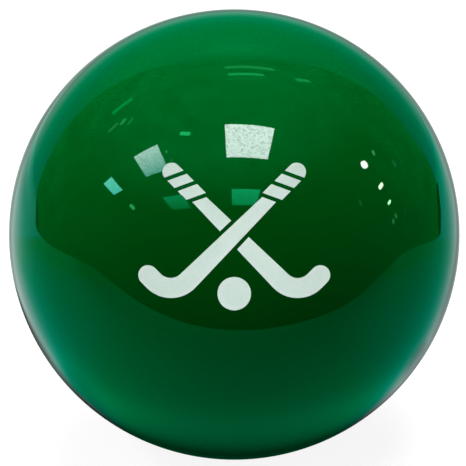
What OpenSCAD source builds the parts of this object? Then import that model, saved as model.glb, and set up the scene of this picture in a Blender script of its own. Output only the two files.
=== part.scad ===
// Rink hockey ball: one moulded ball with a pad-printed mark on its front.
// The origin is the ball's centre, +Z is up and the mark faces -Y.

/* [Ball] */
// Circumference of the ball round its middle
ball_circumference = 230; // [200:1:260]

/* [Print] */
// Latitude of the mark's centre above the ball's equator, in degrees
print_latitude = 20; // [0:1:60]
// Thickness of the dry ink film
ink_thickness = 0.04; // [0.03:0.01:0.1]
// Bare line left between neighbouring shapes of the mark
ink_gap = 0.6; // [0.3:0.1:1]

/* [Printed sticks] */
// Lean of each stick from upright, in degrees
stick_lean = 45; // [38:1:52]
// Length of a stick from the crossing up to its end
upper_length = 14.6; // [12:0.2:16]
// Length of a stick from the crossing down to its blade
lower_length = 9.8; // [9:0.2:12]
// Width of the shaft where the grip begins
shaft_width = 2; // [1.4:0.1:2.4]
// Width of the blade
blade_width = 3; // [2.4:0.1:3.6]
// Radius of the blade's bend along its middle line
bend_radius = 3.6; // [3:0.1:4.5]
// Straight part of the blade from its bend to the middle of its round toe
toe_length = 1.2; // [0.4:0.1:2]

/* [Printed grips] */
// Width of the taped grip
grip_width = 2.8; // [2.2:0.1:3.4]
// Length of one turn of tape along the grip
tape_turn = 2.2; // [1.6:0.1:2.6]
// Number of turns of tape
tape_turns = 3; // [2:1:4]
// Slant of the tape's edges, in degrees
tape_slant = 25; // [0:5:35]

/* [Printed ball] */
// Diameter of the printed ball
dot_diameter = 5; // [3:0.1:6]
// Depth of the printed ball's centre below the crossing
dot_depth = 8.8; // [8:0.1:10]

/* [Hidden] */
$fn = 180;

ball_radius = ball_circumference / (2 * PI);
// Height along a stick at which the grip begins
grip_start = upper_length - tape_turns * tape_turn;
// Margin by which the flat mark is extruded past the ink
press_margin = 1;

// A stick lies in its own plane, with the crossing at the origin, the shaft along Y and the blade below.
// The blade is a quarter of a ring from the shaft's lower end, then a short toe with a round end.
module blade() {
    outer_radius = bend_radius + blade_width / 2;
    translate([-bend_radius, -lower_length]) {
        intersection() {
            difference() {
                circle(r = outer_radius);
                circle(r = bend_radius - blade_width / 2);
            }
            translate([0, -outer_radius])
                square(outer_radius);
        }
        translate([-toe_length, -outer_radius])
            square([toe_length, blade_width]);
        translate([-toe_length, -bend_radius])
            circle(d = blade_width);
    }
}

// The shaft narrows from the blade's width to its own, and ends in a slant below the grip's tape.
// A margin widens it on both sides.
module shaft(margin = 0) {
    slant_rise = shaft_width / 2 * tan(tape_slant);
    top = grip_start - ink_gap / cos(tape_slant);
    polygon([
        [-blade_width / 2 - margin, -lower_length],
        [blade_width / 2 + margin, -lower_length],
        [shaft_width / 2 + margin, top + slant_rise],
        [-shaft_width / 2 - margin, top - slant_rise]
    ]);
}

// The grip is a bar with a round upper end, parted by the slanted edges of its tape.
module grip() {
    slant_rise = grip_width / 2 * tan(tape_slant);
    round_centre = upper_length - grip_width / 2;
    difference() {
        union() {
            polygon([
                [-grip_width / 2, grip_start - slant_rise],
                [grip_width / 2, grip_start + slant_rise],
                [grip_width / 2, round_centre],
                [-grip_width / 2, round_centre]
            ]);
            translate([0, round_centre])
                circle(d = grip_width);
        }
        for (turn = [1 : tape_turns - 1])
            translate([0, grip_start + turn * tape_turn])
                rotate(tape_slant)
                    square([2 * grip_width, ink_gap], center = true);
    }
}

module stick() {
    blade();
    shaft();
    grip();
}

// The mark is flat here, with the sticks' crossing at its centre.
module mark() {
    // The stick in front, whose blade hooks to the left
    rotate(-stick_lean)
        stick();
    // The stick behind, with a bare line on both sides of the one in front
    difference() {
        mirror([1, 0])
            rotate(-stick_lean)
                stick();
        rotate(-stick_lean)
            shaft(margin = ink_gap);
    }
    translate([0, -dot_depth])
        circle(d = dot_diameter);
}

module ball() {
    color("#00561a")
        sphere(r = ball_radius);
}

// A soft pad presses the mark straight onto the ball, so the film is the part of a thin
// shell round the ball that the flat mark covers when it is seen along the print's axis.
module front_print() {
    color("#cadbd3")
        difference() {
            intersection() {
                sphere(r = ball_radius + ink_thickness);
                rotate([90 - print_latitude, 0, 0])
                    linear_extrude(height = ball_radius + press_margin)
                        mark();
            }
            sphere(r = ball_radius);
        }
}

ball();
front_print();
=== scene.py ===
# Looks of a rink hockey ball: a polished green moulded ball with a pale pad-printed mark.
# Metres, +Z up, the ball's centre at the origin, the print towards -Y.
import math

import bmesh
import bpy
from mathutils import Matrix, Vector


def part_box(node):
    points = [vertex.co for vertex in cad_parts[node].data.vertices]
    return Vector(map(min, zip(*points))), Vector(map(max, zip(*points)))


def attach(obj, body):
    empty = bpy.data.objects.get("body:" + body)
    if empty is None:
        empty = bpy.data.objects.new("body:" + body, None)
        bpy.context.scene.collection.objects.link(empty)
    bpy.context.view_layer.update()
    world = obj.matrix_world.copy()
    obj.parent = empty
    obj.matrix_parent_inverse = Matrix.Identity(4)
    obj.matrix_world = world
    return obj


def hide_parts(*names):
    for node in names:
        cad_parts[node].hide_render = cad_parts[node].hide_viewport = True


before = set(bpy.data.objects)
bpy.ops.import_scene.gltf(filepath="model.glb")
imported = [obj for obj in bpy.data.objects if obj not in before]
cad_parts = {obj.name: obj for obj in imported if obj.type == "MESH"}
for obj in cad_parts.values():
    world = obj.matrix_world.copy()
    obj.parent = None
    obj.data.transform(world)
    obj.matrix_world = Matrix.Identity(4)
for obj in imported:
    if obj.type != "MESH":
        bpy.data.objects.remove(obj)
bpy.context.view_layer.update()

# The ball is one piece of dense plastic, dyed green right through and moulded in a split mould.
# The seam is trimmed off, and the ball turns in a drum of polishing chips until no parting
# line is left and the skin shines like wet paint.
millimetre = 0.001
ball_low, ball_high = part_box("ball")
ball_radius = (ball_high.z - ball_low.z) / 2
ball_fineness = 7


def linear(hex_colour):
    """An sRGB colour such as #cadbd3 as the linear colour that a shader takes."""
    channels = [int(hex_colour[at : at + 2], 16) / 255 for at in (1, 3, 5)]
    return (*[c / 12.92 if c <= 0.04045 else ((c + 0.055) / 1.055) ** 2.4 for c in channels], 1)


def add_node(tree, kind, inputs=None, **settings):
    """A node of that kind. An input's value is a plain one or the socket that feeds it."""
    node = tree.nodes.new(kind)
    for name, value in settings.items():
        setattr(node, name, value)
    for name, value in (inputs or {}).items():
        if isinstance(value, bpy.types.NodeSocket):
            tree.links.new(value, node.inputs[name])
        else:
            node.inputs[name].default_value = value
    return node


def finish_for(name):
    """A new, empty material and its node tree."""
    material = bpy.data.materials.new(name)
    material.use_nodes = True
    material.node_tree.nodes.clear()
    return material, material.node_tree


def piece_from(mesh_maker, name):
    """A smooth-shaded piece with the mesh that is left in a bmesh."""
    mesh = bpy.data.meshes.new(name)
    mesh_maker.to_mesh(mesh)
    mesh_maker.free()
    mesh.polygons.foreach_set("use_smooth", [True] * len(mesh.polygons))
    piece = bpy.data.objects.new(name, mesh)
    bpy.context.scene.collection.objects.link(piece)
    return piece


shape = bmesh.new()
bmesh.ops.create_icosphere(shape, subdivisions=ball_fineness, radius=ball_radius)
ball = piece_from(shape, "polished_ball")

# Polished moulded plastic. The dye lies a little unevenly, as faint clouds in the green.
# A Mix node takes its two colours at inputs 6 and 7 and gives the mixed one at output 2.
plastic, tree = finish_for("polished moulded plastic, green")
plastic_ior = 1.5
dye_colour = linear("#00480d")
dye_deep = linear("#003f0a")
cloud_size = 18 * millimetre
cloud_detail = 4
cloud_roughness = 0.6
place = add_node(tree, "ShaderNodeTexCoord").outputs["Object"]
cloud = add_node(
    tree,
    "ShaderNodeTexNoise",
    {"Vector": place, "Scale": 1 / cloud_size, "Detail": cloud_detail, "Roughness": cloud_roughness},
)
dye = add_node(
    tree,
    "ShaderNodeMix",
    {0: cloud.outputs["Fac"], 6: dye_deep, 7: dye_colour},
    data_type="RGBA",
)
# The drum leaves patches with a shade more or less polish, which soften the gloss unevenly.
gloss_roughness = 0.015
worn_roughness = 0.035
patch_size = 7 * millimetre
patch_detail = 3
patch_roughness = 0.6
patch_start, patch_full = 0.4, 0.75
patch = add_node(
    tree,
    "ShaderNodeTexNoise",
    {"Vector": place, "Scale": 1 / patch_size, "Detail": patch_detail, "Roughness": patch_roughness},
)
gloss = add_node(
    tree,
    "ShaderNodeMapRange",
    {
        "Value": patch.outputs["Fac"],
        "From Min": patch_start,
        "From Max": patch_full,
        "To Min": gloss_roughness,
        "To Max": worn_roughness,
    },
)
# Shrinkage in the mould leaves waves of a few thousandths of a millimetre, so that straight
# reflections bend a little, and the polish leaves a finer peel on them.
wave_size = 12 * millimetre
wave_depth = 0.01 * millimetre
wave_detail = 1
peel_size = 2.2 * millimetre
peel_depth = 0.0015 * millimetre
peel_detail = 2
wave = add_node(
    tree, "ShaderNodeTexNoise", {"Vector": place, "Scale": 1 / wave_size, "Detail": wave_detail}
)
wave_bump = add_node(
    tree, "ShaderNodeBump", {"Height": wave.outputs["Fac"], "Strength": 1.0, "Distance": wave_depth}
)
peel = add_node(
    tree, "ShaderNodeTexNoise", {"Vector": place, "Scale": 1 / peel_size, "Detail": peel_detail}
)
peel_bump = add_node(
    tree,
    "ShaderNodeBump",
    {
        "Height": peel.outputs["Fac"],
        "Strength": 1.0,
        "Distance": peel_depth,
        "Normal": wave_bump.outputs["Normal"],
    },
)
body = add_node(
    tree,
    "ShaderNodeBsdfPrincipled",
    {
        "Base Color": dye.outputs[2],
        "Roughness": gloss.outputs[0],
        "IOR": plastic_ior,
        "Normal": peel_bump.outputs["Normal"],
    },
)
add_node(tree, "ShaderNodeOutputMaterial", {"Surface": body.outputs[0]})
ball.data.materials.append(plastic)
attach(ball, "root")
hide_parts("ball")

# The print is one thin film of pale ink. A soft silicone pad picks it up from an etched plate
# and rolls it onto the finished ball, where it dries to a matt skin. It keeps its CAD form.
front_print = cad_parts["front_print"]

# Pad-printing ink. The film covers a little unevenly, which gives the pale grey a fine grain
# and a faint cloudiness where more or less of the green shines through.
ink, tree = finish_for("pad-printing ink, matt pale grey")
ink_full = linear("#cbdcd4")
ink_thin = linear("#c1d6cb")
# The real grain is about 0.1 mm wide. It is drawn three times as coarse, or it wouldn't show.
grain_size = 0.3 * millimetre
grain_detail = 2
film_patch_size = 4 * millimetre
film_patch_detail = 3
thin_start, thin_full = 0.15, 0.45
place = add_node(tree, "ShaderNodeTexCoord").outputs["Object"]
grain = add_node(
    tree, "ShaderNodeTexNoise", {"Vector": place, "Scale": 1 / grain_size, "Detail": grain_detail}
)
film = add_node(
    tree,
    "ShaderNodeTexNoise",
    {"Vector": place, "Scale": 1 / film_patch_size, "Detail": film_patch_detail},
)
uneven = add_node(
    tree, "ShaderNodeMath", {0: grain.outputs["Fac"], 1: film.outputs["Fac"]}, operation="MULTIPLY"
)
thinness = add_node(
    tree,
    "ShaderNodeMapRange",
    {"Value": uneven.outputs[0], "From Min": thin_start, "From Max": thin_full},
)
ink_tone = add_node(
    tree, "ShaderNodeMix", {0: thinness.outputs[0], 6: ink_full, 7: ink_thin}, data_type="RGBA"
)
ink_roughness = 0.75
ink_ior = 1.45
ink_gloss = 0.1
grain_depth = 0.003 * millimetre
ink_bump = add_node(
    tree, "ShaderNodeBump", {"Height": grain.outputs["Fac"], "Strength": 1.0, "Distance": grain_depth}
)
ink_body = add_node(
    tree,
    "ShaderNodeBsdfPrincipled",
    {
        "Base Color": ink_tone.outputs[2],
        "Roughness": ink_roughness,
        "IOR": ink_ior,
        "Specular IOR Level": ink_gloss,
        "Normal": ink_bump.outputs["Normal"],
    },
)
add_node(tree, "ShaderNodeOutputMaterial", {"Surface": ink_body.outputs[0]})
front_print.data.materials.clear()
front_print.data.materials.append(ink)

# The camera stands in front of the ball and a little above it, far enough back that the ball
# shows almost its whole front half. The ball fills nearly the whole frame.
frame_pixels = 466
ball_pixels = 225.3
ball_centre_pixels = (234.24, 234.49)
camera_rise = math.radians(20)
camera_distance = 0.4
sensor_width = 36
nearest_seen = 0.01
farthest_seen = 20


def looking_back(way, distance):
    """The place of a thing that stands that far out along a direction and faces the ball."""
    return Matrix.Translation(way * distance) @ way.to_track_quat("Z", "Y").to_matrix().to_4x4()


bpy.context.scene.view_settings.view_transform = "Standard"
camera = bpy.data.objects.new("camera", bpy.data.cameras.new("camera"))
bpy.context.scene.collection.objects.link(camera)
half_angle = math.asin(ball_radius / camera_distance)
camera.data.sensor_width = sensor_width
camera.data.lens = ball_pixels / math.tan(half_angle) / frame_pixels * sensor_width
camera.data.shift_x = (frame_pixels / 2 - ball_centre_pixels[0]) / frame_pixels
camera.data.shift_y = (ball_centre_pixels[1] - frame_pixels / 2) / frame_pixels
camera.data.clip_start = nearest_seen
camera.data.clip_end = farthest_seen
towards = Vector((0, -math.cos(camera_rise), math.sin(camera_rise)))
camera.matrix_world = looking_back(towards, camera_distance)
bpy.context.scene.camera = camera

# The floor is a plain pale sheet of card that the ball stands on. It shows white to the
# camera, with the ball's soft shadow on it.
floor_half = 3.0
sheet_to_camera = 0.16
sheet_to_ball = 0.05
white_glow = 0.9
shape = bmesh.new()
bmesh.ops.create_grid(shape, x_segments=1, y_segments=1, size=floor_half)
bmesh.ops.translate(shape, verts=shape.verts, vec=(0, 0, -ball_radius))
floor = piece_from(shape, "floor")
sheet, tree = finish_for("pale card sheet")
rays = add_node(tree, "ShaderNodeLightPath")
sheet_tone = add_node(
    tree,
    "ShaderNodeMapRange",
    {"Value": rays.outputs["Is Camera Ray"], "To Min": sheet_to_ball, "To Max": sheet_to_camera},
)
lit = add_node(tree, "ShaderNodeBsdfDiffuse", {"Color": sheet_tone.outputs[0]})
seen = add_node(
    tree, "ShaderNodeMath", {0: rays.outputs["Is Camera Ray"], 1: white_glow}, operation="MULTIPLY"
)
white = add_node(tree, "ShaderNodeEmission", {"Strength": seen.outputs[0]})
plain = add_node(tree, "ShaderNodeAddShader", {0: lit.outputs[0], 1: white.outputs[0]})
# From here on the section paints the sheet as the ball's gloss sees it: a glow with painted shades
# and tints. Colours of light are linear there and in all that only the gloss sees, since a lamp is
# brighter than a hex colour can be. The glow has five painted round shades: under the ball, where
# no lamp reaches it, behind the ball, where the lamps in front cast its shadow, two small ones
# beside its foot and a wide one far back on the left. Each has a centre, the radii where it is full
# and where it ends, and a level.
place = add_node(tree, "ShaderNodeTexCoord").outputs["Object"]
where = add_node(tree, "ShaderNodeSeparateXYZ", {0: place})
painted_levels = []
for x, y, full_radius, end_radius, painted_shade_level in (
    (0, 0.008, 0.023, 0.041, 0.05),
    (-0.008, 0.045, 0.042, 0.054, 0.2),
    (-0.033, 0, 0.004, 0.017, 0.62),
    (0.0435, 0.013, 0.005, 0.0125, 0.72),
    (-0.2, 0.33, 0.05, 0.2, 0.76),
):
    centre = (x, y, -ball_radius)
    away = add_node(tree, "ShaderNodeVectorMath", {0: place, 1: centre}, operation="DISTANCE")
    painted_levels.append(
        add_node(
            tree,
            "ShaderNodeMapRange",
            {
                "Value": away.outputs["Value"],
                "From Min": full_radius,
                "From Max": end_radius,
                "To Min": painted_shade_level,
            },
            interpolation_type="SMOOTHSTEP",
        )
    )
# The glow's painted level also falls off to the right, to the front and far behind. Each fall runs
# along an axis from one place and its level to another.
for axis, start, end, start_level, end_level, easing in (
    ("X", -0.05, 0.05, 1.08, 0.85, "LINEAR"),
    ("Y", -0.09, -0.03, 0.65, 1.06, "SMOOTHSTEP"),
    ("Y", 0.25, 1.1, 1.0, 0.68, "LINEAR"),
):
    painted_levels.append(
        add_node(
            tree,
            "ShaderNodeMapRange",
            {
                "Value": where.outputs[axis],
                "From Min": start,
                "From Max": end,
                "To Min": start_level,
                "To Max": end_level,
            },
            interpolation_type=easing,
        )
    )
# The glow is painted with the green tint that the skin's reflections show, least where the sheet is
# seen at a flat angle, and that is behind a curve y = x * x * bend that opens to the back. A trace
# keeps x * x above nought.
trace = 1e-6
across = add_node(
    tree,
    "ShaderNodeMath",
    {0: where.outputs["X"], 1: where.outputs["X"], 2: trace},
    operation="MULTIPLY_ADD",
)
bend = add_node(
    tree, "ShaderNodeMath", {0: where.outputs["Y"], 1: across.outputs[0]}, operation="DIVIDE"
)
# Near the ball the sheet is seen at flatter angles than the curve says. The bend is shifted there
# by an amount that depends on how far to the side a place is. Each pair is an X and its shift.
shifts = (
    (-0.4, 2.0),
    (-0.12, 0.0),
    (-0.1, -0.8),
    (-0.08, 0.0),
    (-0.068, 0.7),
    (-0.055, 1.5),
    (-0.044, 1.8),
    (-0.037, 1.2),
    (-0.034, 0.0),
    (-0.03, 5.0),
    (-0.02, 12.0),
    (0.02, 12.0),
    (0.03, 6.5),
    (0.037, 5.2),
    (0.046, 2.9),
    (0.058, 0.2),
    (0.07, -0.9),
    (0.1, -1.5),
    (0.2, -0.5),
)
shift_from, shift_to = shifts[0][0], shifts[-1][0]
least_shift, most_shift = -2.0, 12.0
aside = add_node(
    tree,
    "ShaderNodeMapRange",
    {"Value": where.outputs["X"], "From Min": shift_from, "From Max": shift_to},
)
shift_share = add_node(tree, "ShaderNodeValToRGB", {"Fac": aside.outputs[0]})
stops = shift_share.color_ramp.elements
for x, amount in shifts[1:-1]:
    stops.new((x - shift_from) / (shift_to - shift_from))
for stop, (x, amount) in zip(stops, shifts):
    share = (amount - least_shift) / (most_shift - least_shift)
    stop.color = (share, share, share, 1)
shift = add_node(
    tree,
    "ShaderNodeMapRange",
    {"Value": shift_share.outputs[0], "To Min": least_shift, "To Max": most_shift},
)
shifted_bend = add_node(
    tree, "ShaderNodeMath", {0: bend.outputs[0], 1: shift.outputs[0]}, operation="ADD"
)
bend_from, bend_to = -15.0, 20.0
flatness = add_node(
    tree,
    "ShaderNodeMapRange",
    {"Value": shifted_bend.outputs[0], "From Min": bend_from, "From Max": bend_to},
)
tint = add_node(tree, "ShaderNodeValToRGB", {"Fac": flatness.outputs[0]})
tint.color_ramp.elements[0].color = (0, 1, 0.32, 1)
tint.color_ramp.elements[1].color = (0.78, 1, 0.93, 1)
for at, colour in (
    (-5.0, (0, 1, 0.42, 1)),
    (0.0, (0, 1, 0.52, 1)),
    (2.2, (0.01, 1, 0.62, 1)),
    (4.2, (0.1, 1, 0.72, 1)),
    (6.2, (0.38, 1, 0.84, 1)),
    (9.2, (0.6, 1, 0.91, 1)),
    (12.2, (0.75, 1, 0.95, 1)),
):
    tint.color_ramp.elements.new((at - bend_from) / (bend_to - bend_from)).color = colour
# To both sides the glow's painted tint turns greener towards the cloth's edge, but not where it
# goes on far behind.
edge_green = (1, 0.87, 0.38, 1)
green_start, green_full = 0.07, 0.22
behind_start, behind_full = 0.08, 0.1
to_side = add_node(tree, "ShaderNodeMath", {0: where.outputs["X"]}, operation="ABSOLUTE")
side_share = add_node(
    tree,
    "ShaderNodeMapRange",
    {"Value": to_side.outputs[0], "From Min": green_start, "From Max": green_full},
)
fore_share = add_node(
    tree,
    "ShaderNodeMapRange",
    {
        "Value": where.outputs["Y"],
        "From Min": behind_start,
        "From Max": behind_full,
        "To Min": 1.0,
        "To Max": 0.0,
    },
)
edge_share = add_node(
    tree, "ShaderNodeMath", {0: side_share.outputs[0], 1: fore_share.outputs[0]}, operation="MULTIPLY"
)
edge_tint = add_node(
    tree,
    "ShaderNodeMix",
    {0: edge_share.outputs[0], 6: tint.outputs[0], 7: edge_green},
    data_type="RGBA",
    blend_type="MULTIPLY",
)
# A sharper curve bounds a painted shade in the glow, which shows as a thin darker line along the
# very rim. The line is wider far behind, and on the right up to where it fades out.
far_start, far_end = 0.1, 0.4
far_widening = 4.0
right_start, right_full = -0.02, 0.02
right_widening = 4.2
fade_start, fade_end = 0.066, 0.1
line_start, line_full = 11, 18
line_level = 0.5
far_bend = add_node(
    tree,
    "ShaderNodeMapRange",
    {"Value": where.outputs["Y"], "From Min": far_start, "From Max": far_end, "To Max": far_widening},
)
far_rim = add_node(tree, "ShaderNodeMath", {0: bend.outputs[0], 1: far_bend.outputs[0]}, operation="ADD")
right_bend = add_node(
    tree,
    "ShaderNodeMapRange",
    {
        "Value": where.outputs["X"],
        "From Min": right_start,
        "From Max": right_full,
        "To Max": right_widening,
    },
)
right_fade = add_node(
    tree,
    "ShaderNodeMapRange",
    {"Value": where.outputs["X"], "From Min": fade_end, "From Max": fade_start},
)
rim_bend = add_node(
    tree,
    "ShaderNodeMath",
    {0: right_bend.outputs[0], 1: right_fade.outputs[0], 2: far_rim.outputs[0]},
    operation="MULTIPLY_ADD",
)
painted_levels.append(
    add_node(
        tree,
        "ShaderNodeMapRange",
        {
            "Value": rim_bend.outputs[0],
            "From Min": line_start,
            "From Max": line_full,
            "To Min": 1.0,
            "To Max": line_level,
        },
        interpolation_type="SMOOTHSTEP",
    )
)
# All painted shades and falls multiply into the level of the sheet's painted glow, which glossy and
# transmission rays see instead of the lit sheet.
level = painted_levels[0]
for part in painted_levels[1:]:
    level = add_node(
        tree, "ShaderNodeMath", {0: level.outputs[0], 1: part.outputs[0]}, operation="MULTIPLY"
    )
painted_sheet_glow = add_node(
    tree, "ShaderNodeEmission", {"Color": edge_tint.outputs[2], "Strength": level.outputs[0]}
)
mirrored = add_node(
    tree,
    "ShaderNodeMath",
    {0: rays.outputs["Is Glossy Ray"], 1: rays.outputs["Is Transmission Ray"]},
    operation="ADD",
    use_clamp=True,
)
both = add_node(
    tree, "ShaderNodeMixShader", {0: mirrored.outputs[0], 1: plain.outputs[0], 2: painted_sheet_glow.outputs[0]}
)
add_node(tree, "ShaderNodeOutputMaterial", {"Surface": both.outputs[0]})
floor.data.materials.append(sheet)

# A black cloth lies round the sheet, in front of the ball and beside it, and gives the gloss
# its wide dark band. Only the ball's gloss sees it.
cloth_lift = 0.0005
cloth_reach = 40.0
cloth_front = (0, 0.03, 0.005, 1)
cloth_back = (0, 0.42, 0.06, 1)
dark_until, pale_from = -0.9, 0.15
cloth_edge = (
    (-1.78, 1.2),
    (-0.716, 0.412),
    (-0.383, 0.182),
    (-0.308, 0.121),
    (-0.302, 0.075),
    (-0.318, 0.031),
    (-0.355, -0.035),
    (-0.33, -0.115),
    (-0.191, -0.125),
    (-0.106, -0.115),
    (-0.034, -0.103),
    (0.001, -0.1),
    (0.051, -0.096),
    (0.107, -0.086),
    (0.22, -0.075),
    (0.345, -0.028),
    (0.315, 0.037),
    (0.262, 0.062),
    (0.22, 0.08),
    (0.19, 0.095),
    (0.207, 0.116),
    (0.241, 0.15),
    (0.316, 0.228),
    (0.642, 0.531),
    (1.31, 1.2),
)


def rounded(points, steps=8):
    """A smooth open line through all the points."""
    line = []
    for at in range(len(points) - 1):
        a, b, c, d = (Vector(points[min(max(at + k, 0), len(points) - 1)]) for k in (-1, 0, 1, 2))
        for step in range(steps):
            t = step / steps
            line.append(
                b
                + (c - a) * t / 2
                + (2 * a - 5 * b + 4 * c - d) * t**2 / 2
                + (3 * b - a - 3 * c + d) * t**3 / 2
            )
    line.append(Vector(points[-1]))
    return line


def mirrored_light(piece, material, colour, strength=1.0):
    """Makes a stage piece a light of that colour, which nothing but the ball's gloss sees."""
    tree = material.node_tree
    light = add_node(tree, "ShaderNodeEmission", {"Color": colour, "Strength": strength})
    add_node(tree, "ShaderNodeOutputMaterial", {"Surface": light.outputs[0]})
    piece.data.materials.append(material)
    piece.visible_camera = False
    piece.visible_diffuse = False
    piece.visible_shadow = False
    piece.visible_volume_scatter = False


shape = bmesh.new()
line = [(x, y, cloth_lift - ball_radius) for x, y in rounded(cloth_edge)]
inner = [shape.verts.new(corner) for corner in line]
edges = [shape.edges.new(pair) for pair in zip(inner, inner[1:])]
for corner in bmesh.ops.extrude_edge_only(shape, edges=edges)["geom"]:
    if isinstance(corner, bmesh.types.BMVert):
        corner.co.x *= cloth_reach
        corner.co.y *= cloth_reach
cloth = piece_from(shape, "black_cloth")
# The cloth's glow is painted black in front, and paler and greener at the sides and towards the
# back, as painted room light on it. The world paints the dark walls behind the cloth the same way.
cloth_glow, tree = finish_for("black cloth")
place = add_node(tree, "ShaderNodeTexCoord").outputs["Object"]
way = add_node(tree, "ShaderNodeVectorMath", {0: place}, operation="NORMALIZE")
where = add_node(tree, "ShaderNodeSeparateXYZ", {0: way.outputs[0]})
rearward = add_node(
    tree,
    "ShaderNodeMapRange",
    {"Value": where.outputs["Y"], "From Min": dark_until, "From Max": pale_from},
)
tone = add_node(
    tree, "ShaderNodeMix", {0: rearward.outputs[0], 6: cloth_front, 7: cloth_back}, data_type="RGBA"
)
mirrored_light(cloth, cloth_glow, tone.outputs[2])

# On each side a thin strip of painted shade, as in a deep fold of the cloth, shows as a thin black
# line. Each pair of places is the strip's outer and inner edge, and its ends are narrow.
fold_lift = 0.001
for name, fold_shade_colour, fold in (
    (
        "cloth_fold_right",
        (0, 0.05, 0.008, 1),
        (
            ((0.62, 0.58), (0.66, 0.6)),
            ((0.547, 0.489), (0.72, 0.61)),
            ((0.415, 0.334), (0.571, 0.426)),
            ((0.326, 0.237), (0.407, 0.273)),
            ((0.267, 0.174), (0.315, 0.189)),
            ((0.224, 0.131), (0.254, 0.135)),
            ((0.192, 0.099), (0.2, 0.099)),
        ),
    ),
    (
        "cloth_fold_left",
        (0, 0.17, 0.03, 1),
        (
            ((-1.2, 0.74), (-1.25, 0.75)),
            ((-0.726, 0.416), (-1.0, 0.54)),
            ((-0.464, 0.234), (-0.58, 0.269)),
            ((-0.34, 0.148), (-0.394, 0.156)),
            ((-0.291, 0.111), (-0.31, 0.112)),
        ),
    ),
):
    shape = bmesh.new()
    edges = []
    for line in zip(*fold):
        corners = [shape.verts.new((x, y, fold_lift - ball_radius)) for x, y in line]
        edges += [shape.edges.new(pair) for pair in zip(corners, corners[1:])]
    bmesh.ops.bridge_loops(shape, edges=edges)
    painted_fold_shade = piece_from(shape, name)
    shadow, tree = finish_for("black cloth, " + name)
    mirrored_light(painted_fold_shade, shadow, fold_shade_colour)

# The backdrop is a tall pale screen with a round top behind the ball. Only the ball's gloss
# sees it, as the pale band inside the rim. Its glow is painted paler towards the top, as painted
# light from above, and green, as a painted reflection tint.
screen_distance = 1.2
screen_top = 2.4
screen_edge = (
    (-1.78, -0.036),
    (-1.591, 0.131),
    (-1.463, 0.277),
    (-1.24, 0.793),
    (-1.06, 1.2),
    (-0.808, 1.831),
    (-0.506, 2.267),
    (-0.187, 2.391),
    (0.378, 2.272),
    (0.79, 1.743),
    (1.023, 1.204),
    (1.16, 0.859),
    (1.36, 0.496),
    (1.36, 0.3),
    (1.306, 0.13),
    (1.31, -0.036),
)
shape = bmesh.new()
shape.faces.new([shape.verts.new((x, screen_distance, z)) for x, z in rounded(screen_edge)])
bmesh.ops.triangulate(shape, faces=shape.faces)
screen = piece_from(shape, "backdrop")
paper, tree = finish_for("backdrop paper")
place = add_node(tree, "ShaderNodeTexCoord").outputs["Object"]
where = add_node(tree, "ShaderNodeSeparateXYZ", {0: place})
height = add_node(tree, "ShaderNodeMapRange", {"Value": where.outputs["Z"], "From Max": screen_top})
tone = add_node(tree, "ShaderNodeValToRGB", {"Fac": height.outputs[0]})
tone.color_ramp.elements[0].color = (0, 0.58, 0.37, 1)
tone.color_ramp.elements[1].color = (0, 0.8, 0.22, 1)
for at, colour in (
    (0.06, (0, 0.6, 0.33, 1)),
    (0.09, (0, 0.58, 0.31, 1)),
    (0.16, (0, 0.58, 0.3, 1)),
    (0.25, (0, 0.6, 0.26, 1)),
    (0.35, (0, 0.73, 0.24, 1)),
    (0.47, (0, 0.9, 0.28, 1)),
    (0.7, (0, 0.95, 0.3, 1)),
):
    tone.color_ramp.elements.new(at).color = colour
# Low in its middle, where the skin mirrors it at the flattest angle, its glow is painted darker
# and without the green tint, inside an oval that is sunk in the floor. Each colour has its place
# between the oval's centre and its edge, and the two outer places come first.
oval_centre = (-0.08, screen_distance, -0.32)
oval_size = (0.95, 1.0, 0.58)
oval_tones = (
    (0.6, (0.2, 0.32, 0.3, 1)),
    (1.0, (0.08, 0.62, 0.42, 1)),
    (0.72, (0.22, 0.5, 0.43, 1)),
    (0.85, (0.2, 0.64, 0.5, 1)),
)
oval_end, plain_from = 0.98, 1.18
from_oval = add_node(
    tree, "ShaderNodeVectorMath", {0: place, 1: oval_centre}, operation="SUBTRACT"
)
in_oval = add_node(
    tree, "ShaderNodeVectorMath", {0: from_oval.outputs[0], 1: oval_size}, operation="DIVIDE"
)
outward = add_node(tree, "ShaderNodeVectorMath", {0: in_oval.outputs[0]}, operation="LENGTH")
low_tone = add_node(tree, "ShaderNodeValToRGB", {"Fac": outward.outputs["Value"]})
for stop, (at, colour) in zip(low_tone.color_ramp.elements, oval_tones):
    stop.position = at
    stop.color = colour
for at, colour in oval_tones[2:]:
    low_tone.color_ramp.elements.new(at).color = colour
upper_share = add_node(
    tree,
    "ShaderNodeMapRange",
    {"Value": outward.outputs["Value"], "From Min": oval_end, "From Max": plain_from},
)
whole_tone = add_node(
    tree,
    "ShaderNodeMix",
    {0: upper_share.outputs[0], 6: low_tone.outputs[0], 7: tone.outputs[0]},
    data_type="RGBA",
)
# Its glow is painted brighter on the left, and brightest in a round spot near the top, a painted
# pool of light.
bright_half_width = 1.2
left_level, right_level = 1.2, 0.95
bright_spot = (0.05, screen_distance, 1.75)
bright_reach = 0.75
bright_level = 1.5
side_level = add_node(
    tree,
    "ShaderNodeMapRange",
    {
        "Value": where.outputs["X"],
        "From Min": -bright_half_width,
        "From Max": bright_half_width,
        "To Min": left_level,
        "To Max": right_level,
    },
)
from_spot = add_node(tree, "ShaderNodeVectorMath", {0: place, 1: bright_spot}, operation="DISTANCE")
spot_level = add_node(
    tree,
    "ShaderNodeMapRange",
    {"Value": from_spot.outputs["Value"], "From Max": bright_reach, "To Min": bright_level, "To Max": 1.0},
    interpolation_type="SMOOTHSTEP",
)
level = add_node(
    tree, "ShaderNodeMath", {0: side_level.outputs[0], 1: spot_level.outputs[0]}, operation="MULTIPLY"
)
mirrored_light(screen, paper, whole_tone.outputs[2], level.outputs[0])

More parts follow.
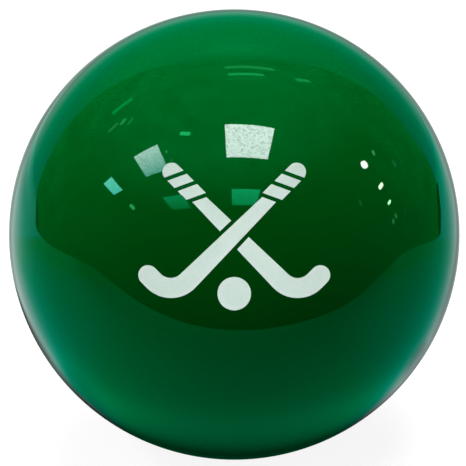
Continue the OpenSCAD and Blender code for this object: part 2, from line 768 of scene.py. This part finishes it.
# Square lamp panels sit in a grid in the ceiling, with a frosted plastic sheet over each. They
# light the ball, and their faces are the square lights in its gloss. The lamp and the face
# are parted, so that a face can be as bright as it must without more light on the ball.
ceiling = 1.64
panel_side = 0.6
near_panel = Vector((0.206, -0.72, ceiling))
near_panel_width = 0.65
step_left = Vector((-1.68, -0.08, 0))
step_front = Vector((0.038, -1.388, 0))
frost_size = 30 * millimetre
frost_detail = 3
frost_level = 0.62
frost_start, frost_clear = 0.35, 0.52
body_lit = bpy.data.collections.new("lit by the room's lamps")
body_lit.objects.link(ball)
body_lit.objects.link(floor)
# Each panel has its steps to the left and to the front of the near one, the lamp's brightness,
# and the colours of its face at the front and at the back. The near one's face is a bit wider.
# The faces' green, and their darker front, are painted reflection colour: the way the ball's gloss shows
# them.
for name, left, front, brightness, front_colour, back_colour in (
    ("panel_near", 0, 0, 19, (14.6, 18, 17, 1), (15.8, 19.2, 18.2, 1)),
    ("panel_left", 1, 0, 22, (1.8, 6.8, 5.9, 1), (8.4, 13.2, 12, 1)),
    ("panel_far_left", 2, 0, 14, (1.3, 10.3, 8.2, 1), (2.2, 12.2, 9.7, 1)),
    ("panel_front", 0, 1, 7, (0.02, 3.9, 1.3, 1), (0.1, 6.1, 2.4, 1)),
    ("panel_front_left", 1, 1, 6, (0.02, 2.0, 0.5, 1), (0.05, 4.0, 1.6, 1)),
):
    spot = near_panel + left * step_left + front * step_front
    lamp = bpy.data.lights.new(name, "AREA")
    lamp.shape = "SQUARE"
    lamp.size = panel_side
    lamp.energy = brightness * math.pi * panel_side**2
    holder = bpy.data.objects.new(name, lamp)
    holder.location = spot
    holder.visible_glossy = False
    bpy.context.scene.collection.objects.link(holder)
    holder.light_linking.receiver_collection = body_lit
    shape = bmesh.new()
    bmesh.ops.create_grid(shape, x_segments=1, y_segments=1, size=panel_side / 2)
    if name == "panel_near":
        bmesh.ops.scale(shape, verts=shape.verts, vec=(near_panel_width / panel_side, 1, 1))
    bmesh.ops.translate(shape, verts=shape.verts, vec=spot)
    face = piece_from(shape, name + "_face")
    frosted, tree = finish_for("frosted lamp sheet, " + name)
    place = add_node(tree, "ShaderNodeTexCoord").outputs["Object"]
    where = add_node(tree, "ShaderNodeSeparateXYZ", {0: place})
    rearward = add_node(
        tree,
        "ShaderNodeMapRange",
        {
            "Value": where.outputs["Y"],
            "From Min": spot.y - panel_side / 2,
            "From Max": spot.y + panel_side / 2,
        },
    )
    glow = add_node(
        tree,
        "ShaderNodeMix",
        {0: rearward.outputs[0], 6: front_colour, 7: back_colour},
        data_type="RGBA",
    )
    frost = add_node(
        tree, "ShaderNodeTexNoise", {"Vector": place, "Scale": 1 / frost_size, "Detail": frost_detail}
    )
    mottle = add_node(
        tree,
        "ShaderNodeMapRange",
        {
            "Value": frost.outputs["Fac"],
            "From Min": frost_start,
            "From Max": frost_clear,
            "To Min": frost_level,
        },
    )
    mirrored_light(face, frosted, glow.outputs[2], mottle.outputs[0])

# Wide soft lamps hang on stands. One over the back of the ball and a weaker one to the front
# left lift the ball's green. One in line with the camera lights the print alone and evenly,
# so that the ink shows in its own colour. None of them shows in the gloss.
lamp_distance = 1.9
print_lit = bpy.data.collections.new("lit by the lamp for the print")
print_lit.objects.link(front_print)


def heading(turn, rise):
    """The direction that is turned from +Y towards +X and raised from the level, in degrees."""
    turn, rise = math.radians(turn), math.radians(rise)
    return Vector((math.sin(turn) * math.cos(rise), math.cos(turn) * math.cos(rise), math.sin(rise)))


for name, turn, rise, brightness, side, receivers in (
    ("lamp_behind", 0, 72, 7.0, 1.2, body_lit),
    ("lamp_front", -130, 45, 0.9, 1.0, body_lit),
    ("lamp_for_print", 180, 18, 11.9, 1.0, print_lit),
):
    lamp = bpy.data.lights.new(name, "AREA")
    lamp.shape = "SQUARE"
    lamp.size = side
    lamp.energy = brightness * math.pi * side**2
    holder = bpy.data.objects.new(name, lamp)
    holder.matrix_world = looking_back(heading(turn, rise), lamp_distance)
    holder.visible_glossy = False
    holder.light_linking.receiver_collection = receivers
    bpy.context.scene.collection.objects.link(holder)

# Three small round lamps stand in a row on the right, and bright fittings and window strips
# are scattered round the room. Each is a small round or long card that only the gloss sees.
# A card runs from one heading to another, and its half width is in degrees too.
# The green in the cards' colours is a painted reflection tint, the green that the ball's gloss shows them
# in.
glint_distance = 5.0
card_corners = 24
for name, turn, rise, end_turn, end_rise, half_width, colour in (
    ("lamp_high", 92.7, 30.5, 91.5, 30.1, 1.5, (20, 23, 20, 1)),
    ("lamp_middle", 91.8, 19.5, 89.4, 19.6, 0.8, (17, 25, 16, 1)),
    ("lamp_low", 90.95, 12.4, 89.3, 12.6, 0.58, (10, 22, 12, 1)),
    ("fitting_1", 81.3, 29.2, 80.9, 29.4, 0.89, (0.5, 4.0, 1.4, 1)),
    ("fitting_2", 73.9, 18.6, 73.6, 19.9, 0.7, (0.1, 1.3, 0.4, 1)),
    ("fitting_3", 69.9, 12.6, 69.9, 13.0, 0.8, (0, 0.6, 0.15, 1)),
    ("fitting_4", 89.0, 6.6, 89.0, 6.6, 1.0, (0.2, 2.0, 0.5, 1)),
    ("fitting_5", 91.8, 5.5, 91.6, 5.7, 0.9, (0.2, 2.0, 0.6, 1)),
    ("fitting_6", 107.6, 19.5, 107.5, 20.5, 0.7, (0.1, 1.2, 0.4, 1)),
    ("fitting_7", -121.6, 62.7, -127.4, 64.3, 1.0, (0.2, 8.2, 2.4, 1)),
    ("fitting_8", -123.2, 23.4, -121.2, 23.9, 0.8, (0.4, 5.7, 1.9, 1)),
    ("fitting_9", 47.7, 59.3, 49.1, 55.1, 0.9, (0.1, 3.2, 1.0, 1)),
    ("fitting_10", -122.8, 52.3, -123.3, 52.2, 0.5, (0.4, 5.0, 2.0, 1)),
    ("fitting_11", -130.7, 50.2, -131.0, 50.0, 0.5, (0.2, 2.4, 1.0, 1)),
    ("strip_1", -65.1, 39.7, -61.4, 45.9, 1.0, (0, 3.0, 0.75, 1)),
    ("strip_2", -76.2, 37.7, -75.1, 41.1, 0.7, (0.2, 2.4, 0.7, 1)),
    ("strip_3", -76.8, 43.3, -75.7, 44.5, 0.9, (0.2, 3.4, 1.0, 1)),
    ("strip_4", -80.2, 46.2, -78.6, 47.9, 0.7, (0.1, 2.4, 0.6, 1)),
    ("strip_5", -6.7, 68.1, 30.0, 63.4, 0.95, (0.1, 2.8, 0.8, 1)),
    ("strip_6", -5.3, 73.2, 29.5, 69.6, 0.9, (0.1, 4.0, 1.2, 1)),
    ("strip_7", -11.1, 76.0, 30.9, 72.9, 0.8, (0, 1.4, 0.4, 1)),
):
    start, end = heading(turn, rise), heading(end_turn, end_rise)
    way = (start + end).normalized()
    half_length = (end - start) / 2 * glint_distance
    radius = glint_distance * math.tan(math.radians(half_width))
    shape = bmesh.new()
    bmesh.ops.create_circle(shape, cap_ends=True, segments=card_corners, radius=radius)
    bmesh.ops.transform(shape, verts=shape.verts, matrix=looking_back(way, glint_distance))
    for corner in shape.verts:
        ahead = (corner.co - way * glint_distance).dot(half_length) > 0
        corner.co += half_length if ahead else -half_length
    card = piece_from(shape, name)
    glowing, tree = finish_for("glow of " + name)
    mirrored_light(card, glowing, colour)

# The room is dim at eye level, with a pale ceiling that shows in the upper half of the ball's
# gloss. It gives little light of its own, and the camera would see it as white.
world = bpy.data.worlds.new("room")
bpy.context.scene.world = world
world.use_nodes = True
tree = world.node_tree
tree.nodes.clear()
room_light = (0.06, 0.06, 0.06, 1)
room_white = (1, 1, 1, 1)
# The ceiling's and the back wall's green is a painted reflection tint, the green that the ball's gloss
# shows them in.
pale_ceiling = (0, 0.9, 0.23, 1)
pale_wall = (0, 0.55, 0.1, 1)
ceiling_axis = (-0.12, 0.05, 0.99)
ceiling_start, ceiling_full = 0.45, 0.9
back_start, back_full = 0, 0.55
wall_start, wall_full = -0.02, 0.25
rays = add_node(tree, "ShaderNodeLightPath")
way = add_node(tree, "ShaderNodeTexCoord").outputs["Generated"]
where = add_node(tree, "ShaderNodeSeparateXYZ", {0: way})
rise = add_node(tree, "ShaderNodeVectorMath", {0: way, 1: ceiling_axis}, operation="DOT_PRODUCT")
overhead = add_node(
    tree,
    "ShaderNodeMapRange",
    {"Value": rise.outputs["Value"], "From Min": ceiling_start, "From Max": ceiling_full},
    interpolation_type="SMOOTHSTEP",
)
backward = add_node(
    tree,
    "ShaderNodeMapRange",
    {"Value": where.outputs["Y"], "From Min": back_start, "From Max": back_full},
    interpolation_type="SMOOTHSTEP",
)
upward = add_node(
    tree,
    "ShaderNodeMapRange",
    {"Value": where.outputs["Z"], "From Min": wall_start, "From Max": wall_full},
    interpolation_type="SMOOTHSTEP",
)
wall_share = add_node(
    tree, "ShaderNodeMath", {0: backward.outputs[0], 1: upward.outputs[0]}, operation="MULTIPLY"
)
# The walls in front and at the sides are as dark as the cloth before them, and the wall at the
# back is paler.
sideward = add_node(
    tree,
    "ShaderNodeMapRange",
    {"Value": where.outputs["Y"], "From Min": dark_until, "From Max": pale_from},
)
low_walls = add_node(
    tree, "ShaderNodeMix", {0: sideward.outputs[0], 6: cloth_front, 7: cloth_back}, data_type="RGBA"
)
walls = add_node(
    tree,
    "ShaderNodeMix",
    {0: wall_share.outputs[0], 6: low_walls.outputs[2], 7: pale_wall},
    data_type="RGBA",
)
plain_room = add_node(
    tree, "ShaderNodeMix", {0: overhead.outputs[0], 6: walls.outputs[2], 7: pale_ceiling}, data_type="RGBA"
)
# Stains, seams and small things on the walls and the ceiling make the room's level uneven.
stain_scale = 7
stain_detail = 5
stain_roughness = 0.7
stain_start, stain_full = 0.35, 0.65
stained_level, clean_level = 0.72, 1.28
stain = add_node(
    tree,
    "ShaderNodeTexNoise",
    {"Vector": way, "Scale": stain_scale, "Detail": stain_detail, "Roughness": stain_roughness},
)
stained = add_node(
    tree,
    "ShaderNodeMapRange",
    {
        "Value": stain.outputs["Fac"],
        "From Min": stain_start,
        "From Max": stain_full,
        "To Min": stained_level,
        "To Max": clean_level,
    },
)
reflected = add_node(
    tree,
    "ShaderNodeVectorMath",
    {0: plain_room.outputs[2], "Scale": stained.outputs[0]},
    operation="SCALE",
)
seen = add_node(
    tree,
    "ShaderNodeMix",
    {0: rays.outputs["Is Camera Ray"], 6: room_light, 7: room_white},
    data_type="RGBA",
)
room = add_node(
    tree,
    "ShaderNodeMix",
    {0: rays.outputs["Is Glossy Ray"], 6: seen.outputs[2], 7: reflected.outputs[0]},
    data_type="RGBA",
)
light = add_node(tree, "ShaderNodeBackground", {"Color": room.outputs[2]})
add_node(tree, "ShaderNodeOutputWorld", {"Surface": light.outputs[0]})
